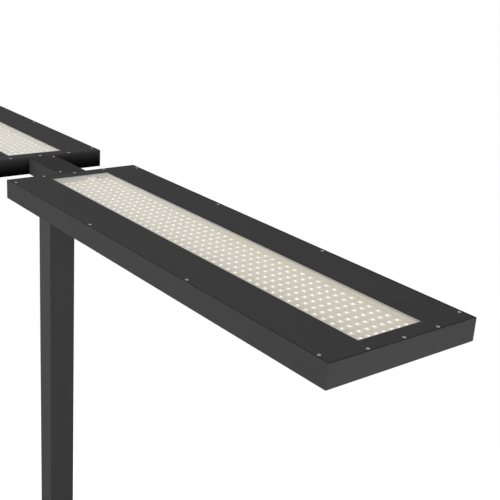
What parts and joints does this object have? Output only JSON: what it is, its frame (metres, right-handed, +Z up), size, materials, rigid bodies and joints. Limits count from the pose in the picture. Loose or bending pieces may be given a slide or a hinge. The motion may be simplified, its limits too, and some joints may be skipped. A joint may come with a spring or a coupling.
{
  "type": "office floor lamp",
  "caption": "Free-standing office floor lamp: a square-section post on a flat base carries two long flat heads that light the ceiling and the desk.",
  "frame": {"origin": "middle of the base on the floor, under the pads", "axes": "+Z up the post, +X along the heads (the head nearer the camera), -Y the side with the control panel"},
  "size_m": [2.066, 0.44, 1.9509],
  "materials": {
    "head_coat": "fine matt anthracite powder coat",
    "cover_coat": "fine matt anthracite powder coat, a shade darker",
    "post_coat": "fine matt anthracite powder coat",
    "base_coat": "textured matt anthracite powder coat",
    "rubber_black": "black rubber",
    "screw_steel": "bright zinc plated steel",
    "plain_steel": "plain machined steel",
    "zinc_sheet": "bare aluminium sheet",
    "black_plastic": "black moulded plastic",
    "power_key": "grey moulded plastic",
    "dark_key": "dark grey moulded plastic",
    "white_plastic": "white moulded plastic",
    "reflector_white": "white reflector film",
    "light_board_white": "white lacquered circuit board",
    "light_chip": "lit white light",
    "clear_pane": "clear acrylic",
    "clear_guide": "clear acrylic light guide",
    "opal_panel": "opal acrylic",
    "lens_plastic": "milky lens plastic",
    "circuit_board": "green circuit board",
    "cable_black": "black cable sheath"
  },
  "bodies": {
    "lamp": {"base_plate": "base_coat", "base_pads": "rubber_black", "base_bolts": "screw_steel", "foot_block": "plain_steel", "post": "post_coat", "head_block": "plain_steel", "cable_gland": "black_plastic", "gland_nut": "black_plastic", "mains_terminal": "white_plastic", "supply_loom": "cable_black", "control_panel": "black_plastic", "panel_screws": "screw_steel", "control_board": "circuit_board", "arm_channel": "head_coat", "arm_cover": "cover_coat", "arm_cover_screws": "screw_steel", "top_bolts": "screw_steel", "arm_terminal": "white_plastic", "arm_wiring": "cable_black", "sensor_lens": "lens_plastic", "sensor_board": "circuit_board", "right_head_housing": "head_coat", "right_top_cover": "cover_coat", "right_cover_screws": "screw_steel", "right_pane": "clear_pane", "right_light_frame": "white_plastic", "right_light_board": "light_board_white", "right_lights": "light_chip", "right_board_tray": "zinc_sheet", "right_chassis_plate": "zinc_sheet", "right_chassis_screws": "screw_steel", "right_tray_screws": "screw_steel", "right_reflector_film": "reflector_white", "right_light_guide": "clear_guide", "right_edge_strip": "light_chip", "right_diffuser": "opal_panel", "right_driver": "white_plastic", "right_head_wiring": "cable_black", "right_head_bolts": "screw_steel", "left_head_housing": "head_coat", "left_top_cover": "cover_coat", "left_cover_screws": "screw_steel", "left_pane": "clear_pane", "left_light_frame": "white_plastic", "left_light_board": "light_board_white", "left_lights": "light_chip", "left_board_tray": "zinc_sheet", "left_chassis_plate": "zinc_sheet", "left_chassis_screws": "screw_steel", "left_tray_screws": "screw_steel", "left_reflector_film": "reflector_white", "left_light_guide": "clear_guide", "left_edge_strip": "light_chip", "left_diffuser": "opal_panel", "left_driver": "white_plastic", "left_head_wiring": "cable_black", "left_head_bolts": "screw_steel"},
    "power_button": {"power_button": "power_key"},
    "brighter_button": {"brighter_button": "dark_key"},
    "dimmer_button": {"dimmer_button": "dark_key"}
  },
  "joints": [
    {"name": "power_button_press", "type": "slide", "parent": "lamp", "child": "power_button", "axis": [0, 1, 0], "range_m": [0, 0.0012], "stiffness_N_per_m": 500, "springref_m": -0.002},
    {"name": "brighter_button_press", "type": "slide", "parent": "lamp", "child": "brighter_button", "axis": [0, 1, 0], "range_m": [0, 0.0012], "stiffness_N_per_m": 500, "springref_m": -0.002},
    {"name": "dimmer_button_press", "type": "slide", "parent": "lamp", "child": "dimmer_button", "axis": [0, 1, 0], "range_m": [0, 0.0012], "stiffness_N_per_m": 500, "springref_m": -0.002}
  ]
}
